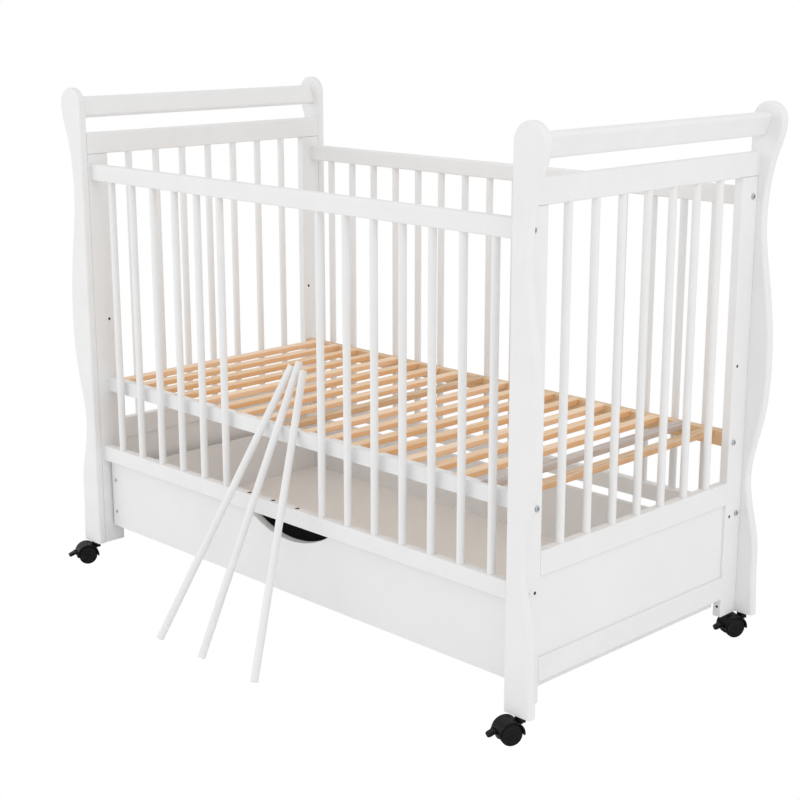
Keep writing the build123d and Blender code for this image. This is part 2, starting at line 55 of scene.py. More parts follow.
def colour(code):
    """Linear colour from an sRGB hex value."""
    parts = [int(code[place:place + 2], 16) / 255 for place in (1, 3, 5)]
    linear = [part / 12.92 if part <= 0.04045 else ((part + 0.055) / 1.055) ** 2.4 for part in parts]
    return (*linear, 1.0)


def add(tree, kind, options=None, inputs=None):
    """Adds one node, sets its options, and sets or links its inputs."""
    made = tree.nodes.new(kind)
    for name, value in (options or {}).items():
        setattr(made, name, value)
    for name, value in (inputs or {}).items():
        if isinstance(value, bpy.types.NodeSocket):
            tree.links.new(value, made.inputs[name])
        else:
            made.inputs[name].default_value = value
    return made


def new_material(name):
    """An empty material and its node tree."""
    material = bpy.data.materials.new(name)
    material.use_nodes = True
    material.node_tree.nodes.clear()
    return material, material.node_tree


def finish_material(tree, inputs, height, depth):
    """Shader and output of a material, with a relief of the given depth in metres."""
    relief = add(tree, "ShaderNodeBump", inputs={"Height": height, "Distance": depth, "Strength": 1.0})
    shader = add(tree, "ShaderNodeBsdfPrincipled", inputs={**inputs, "Normal": relief.outputs["Normal"]})
    add(tree, "ShaderNodeOutputMaterial", inputs={"Surface": shader.outputs["BSDF"]})


def stretched(tree, grain_axis, across, along):
    """Object coordinates counted in grain widths across a piece and grain lengths along it."""
    place = add(tree, "ShaderNodeTexCoord").outputs["Object"]
    scale = [1 / across] * 3
    scale["XYZ".index(grain_axis)] = 1 / along
    return add(tree, "ShaderNodeMapping", inputs={"Vector": place, "Scale": scale}).outputs["Vector"]


def spread(tree, value, low, high):
    """A 0 to 1 value spread between two others."""
    node = add(tree, "ShaderNodeMapRange", inputs={"Value": value, "To Min": low, "To Max": high})
    return node.outputs["Result"]


def blend_colours(tree, factor, first, second):
    """Colour that goes from the first to the second with a factor."""
    inputs = {"Factor": factor, 6: first, 7: second}
    return add(tree, "ShaderNodeMix", {"data_type": "RGBA"}, inputs).outputs[2]


def white_lacquer(name, grain_axis, grain_width, relief):
    """Satin white lacquer on planed or turned wood, with the grain along one axis."""
    material, tree = new_material(name)
    fibres = stretched(tree, grain_axis, grain_width, 90 * MM)
    grain = add(tree, "ShaderNodeTexNoise", inputs={"Vector": fibres, "Scale": 1.0, "Detail": 3.0})
    place = add(tree, "ShaderNodeTexCoord").outputs["Object"]
    peel = add(tree, "ShaderNodeTexNoise", inputs={"Vector": place, "Scale": 1 / (1.8 * MM), "Detail": 1.0})
    tone = add(tree, "ShaderNodeTexNoise", inputs={"Vector": place, "Scale": 1 / (70 * MM), "Detail": 3.0})
    paint = blend_colours(tree, tone.outputs["Fac"], colour("#F3F3F3"), colour("#EBEBEB"))
    shade = spread(tree, grain.outputs["Fac"], 0.0, 0.08)
    paint = blend_colours(tree, shade, paint, colour("#CFCDCB"))
    height = add(tree, "ShaderNodeMath", {"operation": "MULTIPLY_ADD"})
    tree.links.new(grain.outputs["Fac"], height.inputs[0])
    height.inputs[1].default_value = 0.8
    tree.links.new(spread(tree, peel.outputs["Fac"], 0.0, 0.35), height.inputs[2])
    finish_material(tree, {
        "Base Color": paint,
        "Roughness": spread(tree, tone.outputs["Fac"], 0.36, 0.48),
        "IOR": 1.47,
    }, height.outputs["Value"], relief)
    return material


lacquer = {}
for axis in "XYZ":
    lacquer[axis] = white_lacquer("white_lacquer_grain_" + axis.lower(), axis, 2.6 * MM, 0.05 * MM)


def dress(material, *names):
    """Gives CAD nodes, whose shape is right, their finished material."""
    for name in names:
        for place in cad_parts[name].material_slots:
            place.material = material


ENDS = ("right", "left")
SIDES = ("front", "back")
for end in ENDS:
    for side in SIDES:
        dress(lacquer["Z"], f"post_{end}_{side}", f"side_board_{end}_{side}")
    dress(lacquer["Y"], f"end_top_rail_{end}", f"end_bottom_rail_{end}")
    dress(lacquer["Y"], f"lower_rail_{end}", f"handle_rail_{end}")
dress(lacquer["X"], "front_top_rail", "front_bottom_rail", "back_top_rail", "back_bottom_rail")
dress(lacquer["X"], "base_front_rail")
dress(lacquer["Y"], "drawer_runners")

# ---------------------------------------------------------------------------
# White boards: the end panels, let into grooves, and the drawer's front, sides
# and back. Fibreboard with a white melamine face, smoother than the lacquered
# timber, with the very fine pearl that the press plate leaves.
# ---------------------------------------------------------------------------
melamine, tree = new_material("white_melamine_board")
place = add(tree, "ShaderNodeTexCoord").outputs["Object"]
pearl = add(tree, "ShaderNodeTexNoise", inputs={"Vector": place, "Scale": 1 / (1.2 * MM), "Detail": 2.0})
cloud = add(tree, "ShaderNodeTexNoise", inputs={"Vector": place, "Scale": 1 / (160 * MM), "Detail": 2.0})
face = blend_colours(tree, cloud.outputs["Fac"], colour("#F2F2F2"), colour("#EBEBEB"))
finish_material(tree, {
    "Base Color": face,
    "Roughness": spread(tree, cloud.outputs["Fac"], 0.40, 0.50),
    "IOR": 1.5,
}, pearl.outputs["Fac"], 0.04 * MM)
dress(melamine, "end_panel_right", "end_panel_left", "drawer_front", "drawer_back")
dress(melamine, "drawer_side_right", "drawer_side_left")

# ---------------------------------------------------------------------------
# Drawer bottom: a 4 mm hardboard sheet in the drawer's grooves, printed a warm
# pale grey on its upper face. The screen print is matt and slightly mottled.
# ---------------------------------------------------------------------------
hardboard, tree = new_material("printed_hardboard")
place = add(tree, "ShaderNodeTexCoord").outputs["Object"]
fleck = add(tree, "ShaderNodeTexNoise", inputs={"Vector": place, "Scale": 1 / (2.5 * MM), "Detail": 4.0})
cloud = add(tree, "ShaderNodeTexNoise", inputs={"Vector": place, "Scale": 1 / (220 * MM), "Detail": 3.0})
print_tone = blend_colours(tree, cloud.outputs["Fac"], colour("#F7F5F2"), colour("#F0EDE9"))
print_tone = blend_colours(tree, spread(tree, fleck.outputs["Fac"], 0.0, 0.12), print_tone, colour("#CBC6C0"))
finish_material(tree, {
    "Base Color": print_tone,
    "Roughness": spread(tree, fleck.outputs["Fac"], 0.5, 0.66),
    "IOR": 1.5,
}, fleck.outputs["Fac"], 0.05 * MM)
dress(hardboard, "drawer_bottom")

# ---------------------------------------------------------------------------
# Backing of the drawer's hand cut-out: a thin sheet of black-dyed fibreboard
# glued behind the front. It is matt, with faint grey fibres.
# ---------------------------------------------------------------------------
black_board, tree = new_material("black_dyed_fibreboard")
place = add(tree, "ShaderNodeTexCoord").outputs["Object"]
fibre = add(tree, "ShaderNodeTexNoise", inputs={"Vector": place, "Scale": 1 / (1.5 * MM), "Detail": 4.0})
finish_material(tree, {
    "Base Color": blend_colours(tree, fibre.outputs["Fac"], colour("#040404"), colour("#0C0C0B")),
    "Roughness": 0.85,
    "Specular IOR Level": 0.1,
}, fibre.outputs["Fac"], 0.05 * MM)
dress(black_board, "drawer_pull_backing")

# ---------------------------------------------------------------------------
# Spindles: turned beech rods, lacquered white, standing 72 mm apart in their
# rails. Three have been taken out and lean in front; their ends show the
# straight saw cut with its edge just broken.
# ---------------------------------------------------------------------------


def new_tree(name, sockets):
    """An empty Geometry Nodes tree with named inputs, its input node and their identifiers."""
    made = bpy.data.node_groups.new(name, "GeometryNodeTree")
    made.interface.new_socket(name="Geometry", in_out="OUTPUT", socket_type="NodeSocketGeometry")
    keys = {}
    for label, kind in sockets.items():
        item = made.interface.new_socket(name=label, in_out="INPUT", socket_type="NodeSocket" + kind)
        keys[label] = item.identifier
    return made, add(made, "NodeGroupInput").outputs, keys


def close_tree(made, geometry, material):
    """Realized instances with their material at the end of a tree."""
    real = add(made, "GeometryNodeRealizeInstances", inputs={"Geometry": geometry}).outputs[0]
    painted = add(made, "GeometryNodeSetMaterial", inputs={"Geometry": real, "Material": material})
    add(made, "NodeGroupOutput", inputs={"Geometry": painted.outputs[0]})


def sum_of(made, operation, *values):
    """Result of one maths node in a material or a Geometry Nodes tree."""
    node = add(made, "ShaderNodeMath", {"operation": operation}, dict(enumerate(values)))
    return node.outputs[0]


def row_of(made, given, piece):
    """Instances of a piece in a row, without the places of its gap, each with its own number."""
    line = add(made, "GeometryNodeMeshLine", {"mode": "OFFSET"}, {
        "Count": given["Count"], "Start Location": given["First"], "Offset": given["Step"],
    }).outputs[0]
    index = add(made, "GeometryNodeInputIndex").outputs[0]
    compare = {"data_type": "INT", "operation": "GREATER_EQUAL"}
    above = add(made, "FunctionNodeCompare", compare, {2: index, 3: given["Gap From"]}).outputs[0]
    compare = {"data_type": "INT", "operation": "LESS_EQUAL"}
    below = add(made, "FunctionNodeCompare", compare, {2: index, 3: given["Gap To"]}).outputs[0]
    gap = add(made, "FunctionNodeBooleanMath", {"operation": "AND"}, {0: above, 1: below}).outputs[0]
    keep = add(made, "FunctionNodeBooleanMath", {"operation": "NOT"}, {0: gap}).outputs[0]
    spread_out = add(made, "GeometryNodeInstanceOnPoints", inputs={
        "Points": line, "Selection": keep, "Instance": piece,
    }).outputs[0]
    number = add(made, "FunctionNodeRandomValue", {"data_type": "FLOAT"}, {"Seed": given["Seed"]})
    store = {"data_type": "FLOAT", "domain": "INSTANCE"}
    return add(made, "GeometryNodeStoreNamedAttribute", store, {
        "Geometry": spread_out, "Name": "piece", "Value": number.outputs[1],
    }).outputs[0]


ROW_SOCKETS = {
    "Count": "Int", "First": "Vector", "Step": "Vector", "Gap From": "Int", "Gap To": "Int",
    "Seed": "Int", "Material": "Material",
}
spindle_tree, given, spindle_keys = new_tree(
    "spindle_row", {**ROW_SOCKETS, "Length": "Float", "Radius": "Float", "Edge": "Float"})
rod = add(spindle_tree, "GeometryNodeMeshCylinder", {"fill_type": "NGON"}, {
    "Vertices": 40, "Side Segments": 3, "Radius": given["Radius"], "Depth": given["Length"],
}).outputs[0]
where = add(spindle_tree, "GeometryNodeInputPosition").outputs[0]
parts = add(spindle_tree, "ShaderNodeSeparateXYZ", inputs={0: where}).outputs
upward = sum_of(spindle_tree, "SIGN", parts[2])
share = sum_of(spindle_tree, "DIVIDE", sum_of(spindle_tree, "ABSOLUTE", parts[2]), given["Length"])
outer = sum_of(spindle_tree, "GREATER_THAN", share, 0.4)
half = sum_of(spindle_tree, "MULTIPLY", given["Length"], 0.5)
inset = sum_of(spindle_tree, "MULTIPLY", sum_of(spindle_tree, "SUBTRACT", 1.0, outer), given["Edge"])
level = sum_of(spindle_tree, "MULTIPLY", upward, sum_of(spindle_tree, "SUBTRACT", half, inset))
slim = sum_of(spindle_tree, "DIVIDE", sum_of(spindle_tree, "MULTIPLY", outer, given["Edge"]), given["Radius"])
width = sum_of(spindle_tree, "SUBTRACT", 1.0, slim)
moved = add(spindle_tree, "ShaderNodeCombineXYZ", inputs={
    0: sum_of(spindle_tree, "MULTIPLY", parts[0], width),
    1: sum_of(spindle_tree, "MULTIPLY", parts[1], width),
    2: level,
}).outputs[0]
rod = add(spindle_tree, "GeometryNodeSetPosition", inputs={"Geometry": rod, "Position": moved}).outputs[0]
close_tree(spindle_tree, row_of(spindle_tree, given, rod), given["Material"])


def grow(name, made, keys, values):
    """A plain mesh object from a tree, with each input set by its identifier."""
    seed_object = bpy.data.objects.new(name + "_seed", bpy.data.meshes.new(name + "_seed"))
    bpy.context.scene.collection.objects.link(seed_object)
    modifier = seed_object.modifiers.new(name, "NODES")
    modifier.node_group = made
    for label, value in values.items():
        modifier[keys[label]] = value
    shown = bpy.context.evaluated_depsgraph_get()
    mesh = bpy.data.meshes.new_from_object(seed_object.evaluated_get(shown))
    seed_object.modifiers.remove(modifier)
    bpy.data.objects.remove(seed_object)
    piece = bpy.data.objects.new(name, mesh)
    bpy.context.scene.collection.objects.link(piece)
    return piece


def smooth_below(piece, degrees):
    """Smooth shading, with edges sharper than an angle kept crisp."""
    for polygon in piece.data.polygons:
        polygon.use_smooth = True
    piece.data.set_sharp_from_angle(angle=math.radians(degrees))


turned_lacquer = white_lacquer("white_lacquer_on_turned_beech", "Z", 3.5 * MM, 0.012 * MM)
SPINDLE_RADIUS = 7.5 * MM
SPINDLE_EDGE = 1.0 * MM
SPINDLE_PITCH = 72 * MM
SIDE_COUNT = 16
END_COUNT = 7
MISSING = (6, 8)
NO_GAP = (-2, -1)


def spindle_row(name, node, count, step, low, high, gap):
    """One row of spindles between its rails, standing for its CAD node."""
    lowest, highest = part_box(node)
    middle = (lowest + highest) / 2
    reach = Vector(step) * (count - 1)
    first = Vector((0.0, 0.0, (low + high) / 2)) - reach / 2
    across = 1 if step[0] else 0
    first[across] = middle[across]
    piece = grow(name, spindle_tree, spindle_keys, {
        "Count": count, "First": first[:], "Step": step, "Gap From": gap[0], "Gap To": gap[1],
        "Seed": count, "Material": turned_lacquer, "Length": high - low,
        "Radius": SPINDLE_RADIUS, "Edge": SPINDLE_EDGE,
    })
    smooth_below(piece, 30)
    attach(piece, "frame")
    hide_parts(node)
    return piece


SOCKET_DEPTH = 2 * MM
side_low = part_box("front_bottom_rail")[1].z - SOCKET_DEPTH
side_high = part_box("front_top_rail")[0].z + SOCKET_DEPTH
end_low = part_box("end_bottom_rail_right")[1].z - SOCKET_DEPTH
end_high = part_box("end_top_rail_right")[0].z + SOCKET_DEPTH
along_side = (SPINDLE_PITCH, 0.0, 0.0)
along_end = (0.0, SPINDLE_PITCH, 0.0)
spindle_row("front_spindle_row", "front_spindles", SIDE_COUNT, along_side, side_low, side_high, MISSING)
spindle_row("back_spindle_row", "back_spindles", SIDE_COUNT, along_side, side_low, side_high, NO_GAP)
for end in ENDS:
    spindle_row(f"{end}_spindle_row", f"end_spindles_{end}", END_COUNT, along_end, end_low, end_high, NO_GAP)

LOOSE_LENGTH = 600 * MM


def end_centre(points, furthest):
    """Middle of a rod's lower or upper end, from the points of its surface."""
    tip = furthest(points, key=lambda point: point.z)
    near = [point for point in points if (point - tip).length < 3 * SPINDLE_RADIUS]
    return sum(near, Vector()) / len(near)


for number in (1, 2, 3):
    node = f"loose_spindle_{number}"
    points = [vertex.co.copy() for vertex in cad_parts[node].data.vertices]
    lean = end_centre(points, max) - end_centre(points, min)
    piece = grow(f"loose_spindle_rod_{number}", spindle_tree, spindle_keys, {
        "Count": 1, "First": (0.0, 0.0, 0.0), "Step": along_side, "Gap From": NO_GAP[0],
        "Gap To": NO_GAP[1], "Seed": number, "Material": turned_lacquer, "Length": LOOSE_LENGTH,
        "Radius": SPINDLE_RADIUS, "Edge": SPINDLE_EDGE,
    })
    turn = Vector((0, 0, 1)).rotation_difference(lean).to_matrix().to_4x4()
    lowest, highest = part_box(node)
    piece.data.transform(Matrix.Translation((lowest + highest) / 2) @ turn)
    smooth_below(piece, 30)
    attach(piece, node)
    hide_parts(node)

# ---------------------------------------------------------------------------
# Bed base: eighteen planed pine slats let into notches of two long rails. The
# wood is left bare: pale on the planed tops, with fine growth rings and a knot
# here and there. The sides are darker and more orange as painted shade. One
# slat is greyed, one dark.


RING_COUNT = 9.0
RING_SHARPNESS = 2.2
KNOT_CORE = 0.02
KNOT_EDGE = 0.16
SIDE_SHADE_STRENGTH = 0.8
PIECE_SHIFT = 9.0


def bare_pine(name, grain_axis, pale, ring, side, knot, knot_share):
    """Unfinished pine with growth rings and knots, and painted shade that makes its sides darker and more
    orange.
    """
    material, tree = new_material(name)
    texture = add(tree, "ShaderNodeTexCoord")
    own = add(tree, "ShaderNodeAttribute", {"attribute_name": "piece"}).outputs["Fac"]
    shift = add(tree, "ShaderNodeCombineXYZ", inputs={0: own, 1: own, 2: own}).outputs[0]
    far = add(tree, "ShaderNodeVectorMath", {"operation": "SCALE"}, {0: shift, "Scale": PIECE_SHIFT}).outputs[0]
    place = add(tree, "ShaderNodeVectorMath", {"operation": "ADD"}, {0: texture.outputs["Object"], 1: far})
    place = place.outputs[0]
    along = "XYZ".index(grain_axis)

    def scaled(across_mm, along_mm):
        scale = [1 / (across_mm * MM)] * 3
        scale[along] = 1 / (along_mm * MM)
        return add(tree, "ShaderNodeMapping", inputs={"Vector": place, "Scale": scale}).outputs["Vector"]

    fibres = add(tree, "ShaderNodeTexNoise", inputs={"Vector": scaled(1.1, 60), "Scale": 1.0, "Detail": 4.0})
    sway = add(tree, "ShaderNodeTexNoise", inputs={"Vector": scaled(16, 260), "Scale": 1.0, "Detail": 2.0})
    rings = sum_of(tree, "MULTIPLY", sway.outputs["Fac"], RING_COUNT)
    rings = sum_of(tree, "PINGPONG", rings, 1.0)
    rings = sum_of(tree, "POWER", rings, RING_SHARPNESS)
    spots = add(tree, "ShaderNodeTexVoronoi", inputs={"Vector": scaled(42, 210), "Scale": 1.0})
    core = add(tree, "ShaderNodeMapRange", inputs={
        "Value": spots.outputs["Distance"], "From Min": KNOT_CORE, "From Max": KNOT_EDGE,
        "To Min": 1.0, "To Max": 0.0,
    }).outputs["Result"]
    rare = add(tree, "ShaderNodeSeparateColor", inputs={0: spots.outputs["Color"]}).outputs[0]
    core = sum_of(tree, "MULTIPLY", core, sum_of(tree, "LESS_THAN", rare, knot_share))
    wood = blend_colours(tree, spread(tree, rings, 0.0, 0.95), colour(pale), colour(ring))
    wood = blend_colours(tree, spread(tree, fibres.outputs["Fac"], 0.0, 0.45), wood, colour(ring))
    # Faces that turn sideways take the side colour: painted shade, set by the face's direction.
    normal = add(tree, "ShaderNodeSeparateXYZ", inputs={0: texture.outputs["Normal"]}).outputs[2]
    painted_side_shade = spread(tree, sum_of(tree, "ABSOLUTE", normal), SIDE_SHADE_STRENGTH, 0.0)
    wood = blend_colours(tree, painted_side_shade, wood, colour(side))
    wood = blend_colours(tree, core, wood, colour(knot))
    darker = add(tree, "ShaderNodeHueSaturation", inputs={
        "Color": wood, "Value": spread(tree, own, 0.93, 1.04), "Saturation": spread(tree, own, 1.08, 0.9),
    }).outputs[0]
    height = sum_of(tree, "ADD", rings, fibres.outputs["Fac"])
    finish_material(tree, {
        "Base Color": darker,
        "Roughness": spread(tree, fibres.outputs["Fac"], 0.55, 0.72),
        "IOR": 1.5,
    }, height, 0.12 * MM)
    return material


# Each pine's fourth colour is the painted shade of the sides of its pieces.
slat_pine = bare_pine("planed_pine_slats", "Y", "#FAE3CA", "#F2C596", "#F6BD84", "#8E5A33", 0.16)
rail_pine = bare_pine("planed_pine_rail", "X", "#F1DCC2", "#DDB78D", "#EBC59C", "#7E4B29", 0.5)
greyed_pine = bare_pine("greyed_pine_slat", "Y", "#D3C8C1", "#AFA198", "#C6B3A3", "#7B6A5D", 0.10)
dark_pine = bare_pine("dark_pine_slat", "Y", "#E6CBAB", "#C39867", "#DDA873", "#71421F", 0.42)
dress(rail_pine, "base_back_rail")

slat_tree, given, slat_keys = new_tree("slat_row", {
    **ROW_SOCKETS, "Length": "Float", "Width": "Float", "Thickness": "Float", "Edge": "Float"})
shape = add(slat_tree, "GeometryNodeCurvePrimitiveQuadrilateral", inputs={
    "Width": given["Width"], "Height": given["Thickness"],
}).outputs[0]
shape = add(slat_tree, "GeometryNodeFilletCurve", {"mode": "POLY"}, {
    "Curve": shape, "Count": 3, "Radius": given["Edge"], "Limit Radius": True,
}).outputs[0]
end_y = sum_of(slat_tree, "MULTIPLY", given["Length"], 0.5)
start_y = sum_of(slat_tree, "MULTIPLY", given["Length"], -0.5)
run = add(slat_tree, "GeometryNodeCurvePrimitiveLine", inputs={
    "Start": add(slat_tree, "ShaderNodeCombineXYZ", inputs={1: start_y}).outputs[0],
    "End": add(slat_tree, "ShaderNodeCombineXYZ", inputs={1: end_y}).outputs[0],
}).outputs[0]
slat = add(slat_tree, "GeometryNodeCurveToMesh", inputs={
    "Curve": run, "Profile Curve": shape, "Fill Caps": True,
}).outputs[0]
close_tree(slat_tree, row_of(slat_tree, given, slat), given["Material"])

SLAT_EDGE = 1.5 * MM
SLAT_WIDTH = 24 * MM
SLAT_THICKNESS = 11 * MM
SLAT_PITCH = 67 * MM
SLAT_SEED = 7
slat_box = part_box("base_slats")
slat_length = slat_box[1].y - slat_box[0].y
slat_level = slat_box[1].z - SLAT_THICKNESS / 2


def slats(name, node, count, first_x, material):
    """A run of slats on one pitch, standing for its CAD node."""
    piece = grow(name, slat_tree, slat_keys, {
        "Count": count, "First": (first_x, 0.0, slat_level), "Step": (SLAT_PITCH, 0.0, 0.0),
        "Gap From": NO_GAP[0], "Gap To": NO_GAP[1], "Seed": SLAT_SEED, "Material": material,
        "Length": slat_length, "Width": SLAT_WIDTH, "Thickness": SLAT_THICKNESS, "Edge": SLAT_EDGE,
    })
    smooth_below(piece, 40)
    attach(piece, "frame")
    if node:
        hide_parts(node)
    return piece


grey_x = sum(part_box("base_slat_grey"), Vector()).x / 2
dark_x = sum(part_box("base_slat_dark"), Vector()).x / 2
first_x = slat_box[0].x + SLAT_WIDTH / 2
last_x = slat_box[1].x - SLAT_WIDTH / 2
left_count = round((dark_x - first_x) / SLAT_PITCH)
middle_count = round((grey_x - dark_x) / SLAT_PITCH) - 1
right_count = round((last_x - grey_x) / SLAT_PITCH)
slats("pine_slats_left", "base_slats", left_count, first_x, slat_pine)
slats("pine_slats_middle", None, middle_count, dark_x + SLAT_PITCH, slat_pine)
slats("pine_slat_last", None, right_count, grey_x + SLAT_PITCH, dark_pine)
slats("greyed_slat", "base_slat_grey", 1, grey_x, greyed_pine)
slats("dark_slat", "base_slat_dark", 1, dark_x, dark_pine)

# ---------------------------------------------------------------------------
# Bolts and screws: zinc-plated steel. Each bolt head is a low button with a
# six-sided socket; the drawer's screws are flat heads with a cross recess.
# The plating is bright and slightly blue, with fine turning marks.
# ---------------------------------------------------------------------------
zinc, tree = new_material("zinc_plated_steel")
place = add(tree, "ShaderNodeTexCoord").outputs["Object"]
bloom = add(tree, "ShaderNodeTexNoise", inputs={"Vector": place, "Scale": 1 / (3 * MM), "Detail": 4.0})
marks = add(tree, "ShaderNodeTexNoise", inputs={"Vector": place, "Scale": 1 / (0.4 * MM), "Detail": 1.0})
finish_material(tree, {
    "Base Color": blend_colours(tree, bloom.outputs["Fac"], colour("#C9CDD1"), colour("#A9ADB2")),
    "Metallic": 1.0,
    "Roughness": spread(tree, bloom.outputs["Fac"], 0.26, 0.42),
}, marks.outputs["Fac"], 0.02 * MM)
dress(zinc, "barrel_nuts", "caster_stems")

RING = 24


def rings_mesh(name, rings):
    """Closed mesh through rings of points, each a function of the angle, with flat caps."""
    body = bmesh.new()
    loops = []
    for radius_at, height in rings:
        loop = []
        for place in range(RING):
            angle = math.tau * place / RING
            radius = radius_at(angle)
            loop.append(body.verts.new((height, radius * math.cos(angle), radius * math.sin(angle))))
        loops.append(loop)
    for low, high in zip(loops, loops[1:]):
        for place in range(RING):
            after = (place + 1) % RING
            body.faces.new((low[place], low[after], high[after], high[place]))
    body.faces.new(loops[0][::-1])
    body.faces.new(loops[-1])
    bmesh.ops.recalc_face_normals(body, faces=body.faces)
    mesh = bpy.data.meshes.new(name)
    body.to_mesh(mesh)
    body.free()
    return bpy.data.objects.new(name, mesh)


def round_at(radius):
    """Ring of one radius."""
    return lambda angle: radius


def hexagon_at(radius):
    """Ring with six flat sides."""
    return lambda angle: radius * math.cos(math.pi / 6) / math.cos(angle % (math.pi / 3) - math.pi / 6)


def cross_at(radius, waist):
    """Ring with four arms."""
    return lambda angle: waist + (radius - waist) * abs(math.cos(2 * angle)) ** 4


HEAD = 5.5 * MM
HEAD_RISE = 3.0 * MM
SOCKET = 2.1 * MM
bolt_head = rings_mesh("button_head", [
    (round_at(3 * MM), -2 * MM),
    (round_at(3 * MM), 0.0),
    (round_at(HEAD), 0.0),
    (round_at(HEAD), 0.35 * HEAD_RISE),
    (round_at(0.93 * HEAD), 0.72 * HEAD_RISE),
    (round_at(0.78 * HEAD), 0.93 * HEAD_RISE),
    (round_at(0.6 * HEAD), HEAD_RISE),
    (hexagon_at(SOCKET), HEAD_RISE),
    (hexagon_at(0.97 * SOCKET), 0.35 * HEAD_RISE),
])
SCREW = 3.5 * MM
screw_head = rings_mesh("flat_head", [
    (round_at(2 * MM), -2.4 * MM),
    (round_at(SCREW), -0.3 * MM),
    (round_at(0.96 * SCREW), 0.0),
    (cross_at(0.62 * SCREW, 0.22 * SCREW), 0.0),
    (cross_at(0.5 * SCREW, 0.15 * SCREW), -1.2 * MM),
])

hardware_tree, given, hardware_keys = new_tree("hardware_on_points", {
    "Head": "Object", "Facing": "Vector", "Count": "Int", "Seed": "Int", "Material": "Material",
    "First": "Vector", "Rise": "Vector", "Across": "Vector", "Spin": "Float",
})
line = add(hardware_tree, "GeometryNodeMeshLine", {"mode": "OFFSET"}, {
    "Count": given["Count"], "Start Location": given["First"], "Offset": given["Rise"],
}).outputs[0]
again = add(hardware_tree, "GeometryNodeTransform", inputs={"Geometry": line, "Translation": given["Across"]})
both = add(hardware_tree, "GeometryNodeJoinGeometry")
hardware_tree.links.new(line, both.inputs[0])
hardware_tree.links.new(again.outputs[0], both.inputs[0])
head = add(hardware_tree, "GeometryNodeObjectInfo", inputs={"Object": given["Head"]}).outputs["Geometry"]
spin = add(hardware_tree, "FunctionNodeRandomValue", {"data_type": "FLOAT"}, {
    2: 0.0, 3: given["Spin"], "Seed": given["Seed"],
}).outputs[1]
turned = add(hardware_tree, "ShaderNodeCombineXYZ", inputs={0: spin}).outputs[0]
turned = add(hardware_tree, "FunctionNodeRotateEuler", {"space": "OBJECT"}, {
    "Rotation": given["Facing"], "Rotate By": turned,
}).outputs[0]
single = add(hardware_tree, "GeometryNodeMergeByDistance", inputs={"Geometry": both.outputs[0]}).outputs[0]
heads = add(hardware_tree, "GeometryNodeInstanceOnPoints", inputs={
    "Points": single, "Instance": head, "Rotation": turned,
}).outputs[0]
close_tree(hardware_tree, heads, given["Material"])


def hardware(name, body, head_object, facing, seed, first, rise, count, across, nodes,
             material=zinc, spin=math.pi):
    """Heads or sleeves on a grid of points, standing for CAD nodes where those are named."""
    bpy.context.scene.collection.objects.link(head_object)
    piece = grow(name, hardware_tree, hardware_keys, {
        "Head": head_object, "Facing": facing, "Count": count, "Seed": seed, "Material": material,
        "First": first, "Rise": rise, "Across": across, "Spin": spin,
    })
    bpy.context.scene.collection.objects.unlink(head_object)
    smooth_below(piece, 35)
    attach(piece, body)
    if nodes:
        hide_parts(*nodes)
    return piece


end_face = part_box("post_right_front")[1].x
rail_y = abs(sum(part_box("front_top_rail"), Vector()).y / 2)
top_z = sum(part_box("front_top_rail"), Vector()).z / 2
low_z = sum(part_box("front_bottom_rail"), Vector()).z / 2
base_y = abs(sum(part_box("base_front_rail"), Vector()).y / 2)
BASE_BOLT_RISE = 10 * MM
RAIL_BOLT_SEED = 3
BASE_BOLT_SEED = 11
SCREW_SEED = 5
base_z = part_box("base_front_rail")[0].z + BASE_BOLT_RISE
facing_out = {"right": (0.0, 0.0, 0.0), "left": (0.0, 0.0, math.pi)}
for number, end in enumerate(ENDS):
    face_x = end_face if end == "right" else -end_face
    hardware(f"{end}_rail_bolts", "frame", bolt_head, facing_out[end], RAIL_BOLT_SEED + number,
             (face_x, -rail_y, low_z), (0.0, 0.0, top_z - low_z), 2, (0.0, 2 * rail_y, 0.0),
             ["frame_bolts"] if end == "right" else [])
    hardware(f"{end}_base_bolts", "frame", bolt_head, facing_out[end], BASE_BOLT_SEED + number,
             (face_x, -base_y, base_z), (0.0, 0.0, 0.0), 1, (0.0, 2 * base_y, 0.0), [])
front_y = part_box("drawer_front")[0].y
screw_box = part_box("drawer_screws")
screw_x = screw_box[1].x - SCREW
screw_low = screw_box[0].z + SCREW
screw_high = screw_box[1].z - SCREW
hardware("drawer_front_screws", "drawer", screw_head, (0.0, 0.0, -math.pi / 2), SCREW_SEED,
         (-screw_x, front_y, screw_low), (0.0, 0.0, screw_high - screw_low), 2,
         (2 * screw_x, 0.0, 0.0), ["drawer_screws"])

# ---------------------------------------------------------------------------
# Drilled holes left open: the spindle sockets the loose spindles came out of,
# the spare bolt holes of the base and a pilot hole near each foot. The paint
# stops at their rims, so each shows bare wood, darkened with painted shade for the shadow inside the hole.
# ---------------------------------------------------------------------------
# Material of the sleeves: bare wood, darkened with painted shade for the shadow inside each hole.
drilled, tree = new_material("bare_wood_with_painted_shade_in_holes")
fibres = stretched(tree, "Z", 0.5 * MM, 4 * MM)
grain = add(tree, "ShaderNodeTexNoise", inputs={"Vector": fibres, "Scale": 1.0, "Detail": 3.0})
finish_material(tree, {
    "Base Color": blend_colours(tree, grain.outputs["Fac"], colour("#8A6B4C"), colour("#5A4431")),
    "Roughness": 0.9,
}, grain.outputs["Fac"], 0.06 * MM)

LINING_WALL = 0.35 * MM
LINING_FIT = 0.06 * MM
RIM_SETBACK = 0.4 * MM
